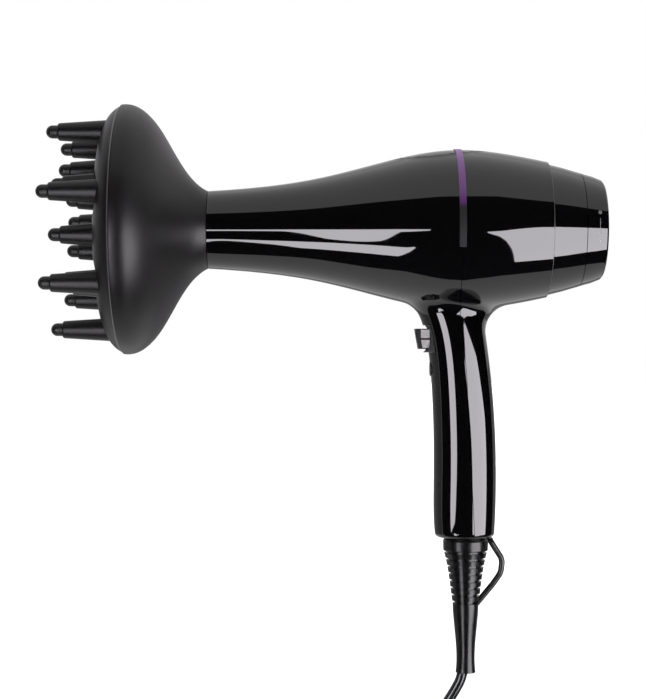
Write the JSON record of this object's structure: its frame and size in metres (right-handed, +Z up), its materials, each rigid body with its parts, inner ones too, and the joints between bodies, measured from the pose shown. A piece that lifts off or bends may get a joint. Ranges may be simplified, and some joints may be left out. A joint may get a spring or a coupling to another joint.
{
  "type": "hair dryer with diffuser",
  "caption": "Hand-held hair dryer with a fingered diffuser bell on its nozzle, pull-off inlet cap, rocker keys, strain relief and coiled mains lead.",
  "frame": {"origin": "middle of the grip, on the handle's centre line", "axes": "+Z up along the handle to the barrel, +X towards the air inlet, diffuser towards -X; the barrel axis is parallel to X at Z = 0.126 m"},
  "size_m": [0.3289, 0.1652, 0.4157],
  "materials": {
    "gloss_housing": "high-gloss moulded",
    "accent": "translucent purple with a satin gloss",
    "soft_black": "soft-touch matte",
    "tip_black": "satin moulded",
    "black_plastic": "moulded",
    "key_grey": "satin grey",
    "rubber_black": "satin rubber",
    "cord_black": "extruded, slightly glossy",
    "plug_black": "moulded",
    "pin_metal": "nickel plated",
    "steel": "ground",
    "copper": "enamelled and bare copper",
    "lamination": "stacked laminations",
    "carbon": "pressed carbon",
    "mica": "layered mica",
    "heating_wire": "drawn wire",
    "cutout_case": "ceramic",
    "board_green": "solder mask"
  },
  "bodies": {
    "root": {"front_housing": "gloss_housing", "rear_housing": "gloss_housing", "accent_band": "accent", "rear_collar": "gloss_housing", "outlet_grille": "black_plastic", "heater_tube": "mica", "heater_boards": "mica", "heating_coil": "heating_wire", "thermal_cutout": "cutout_case", "ion_emitters": "heating_wire", "motor_duct": "black_plastic", "stator_core": "lamination", "field_coils": "copper", "motor_brackets": "black_plastic", "shaft_bearings": "steel", "brush_holders": "black_plastic", "brushes": "carbon", "switch_bezel": "black_plastic", "switch_body": "black_plastic", "button_spring": "steel", "circuit_board": "board_green", "strain_relief": "rubber_black", "hanging_loop": "rubber_black", "cord_clamp": "black_plastic", "cord_inner": "cord_black", "screws": "steel", "power_cord": "cord_black", "cord_coil": "cord_black", "cord_tail": "cord_black", "cord_tie": "rubber_black", "plug_body": "plug_black", "plug_pins": "pin_metal"},
    "diffuser_ring": {"snap_ring": "black_plastic"},
    "diffuser": {"diffuser_bell": "soft_black", "diffuser_plate": "soft_black", "outer_finger_1": "soft_black", "outer_finger_2": "soft_black", "outer_finger_3": "soft_black", "outer_finger_4": "soft_black", "outer_finger_5": "soft_black", "outer_finger_6": "soft_black", "outer_finger_7": "soft_black", "inner_finger_1": "soft_black", "inner_finger_2": "soft_black", "inner_finger_3": "soft_black", "inner_finger_4": "soft_black", "inner_finger_5": "soft_black", "inner_finger_6": "soft_black", "inner_finger_7": "soft_black", "finger_tips": "tip_black"},
    "rotor": {"motor_shaft": "steel", "armature": "lamination", "commutator": "copper", "impeller": "black_plastic"},
    "inlet_cap": {"inlet_grille": "black_plastic", "lint_filter": "steel"},
    "lock_ring": {"inlet_lock_ring": "gloss_housing"},
    "speed_key": {"speed_rocker": "key_grey"},
    "heat_key": {"heat_rocker": "key_grey"},
    "button": {"cool_shot_button": "black_plastic"}
  },
  "joints": [
    {"name": "diffuser_pull", "type": "slide", "parent": "root", "child": "diffuser_ring", "axis": [-1, 0, 0], "range_m": [0, 0.03]},
    {"name": "diffuser_turn", "type": "hinge", "parent": "diffuser_ring", "child": "diffuser", "pos_m": [-0.16, 0, 0.126], "axis": [1, 0, 0], "continuous": true},
    {"name": "inlet_cap_pull", "type": "slide", "parent": "root", "child": "inlet_cap", "axis": [1, 0, 0], "range_m": [0, 0.03]},
    {"name": "lock_ring_turn", "type": "hinge", "parent": "inlet_cap", "child": "lock_ring", "pos_m": [0.075, 0, 0.126], "axis": [1, 0, 0], "range_deg": [0, 25]},
    {"name": "speed_switch", "type": "hinge", "parent": "root", "child": "speed_key", "pos_m": [-0.02, -0.0045, 0.0606], "axis": [0, 1, 0], "range_deg": [-9, 9]},
    {"name": "heat_switch", "type": "hinge", "parent": "root", "child": "heat_key", "pos_m": [-0.02, 0.0045, 0.0606], "axis": [0, 1, 0], "range_deg": [-9, 9]},
    {"name": "cool_shot_press", "type": "slide", "parent": "root", "child": "button", "axis": [1, 0, 0], "range_m": [0, 0.002], "stiffness_N_per_m": 400, "springref_m": -0.001, "deforming": ["button_spring"]},
    {"name": "rotor_spin", "type": "hinge", "parent": "root", "child": "rotor", "pos_m": [0, 0, 0.126], "axis": [1, 0, 0], "continuous": true}
  ]
}
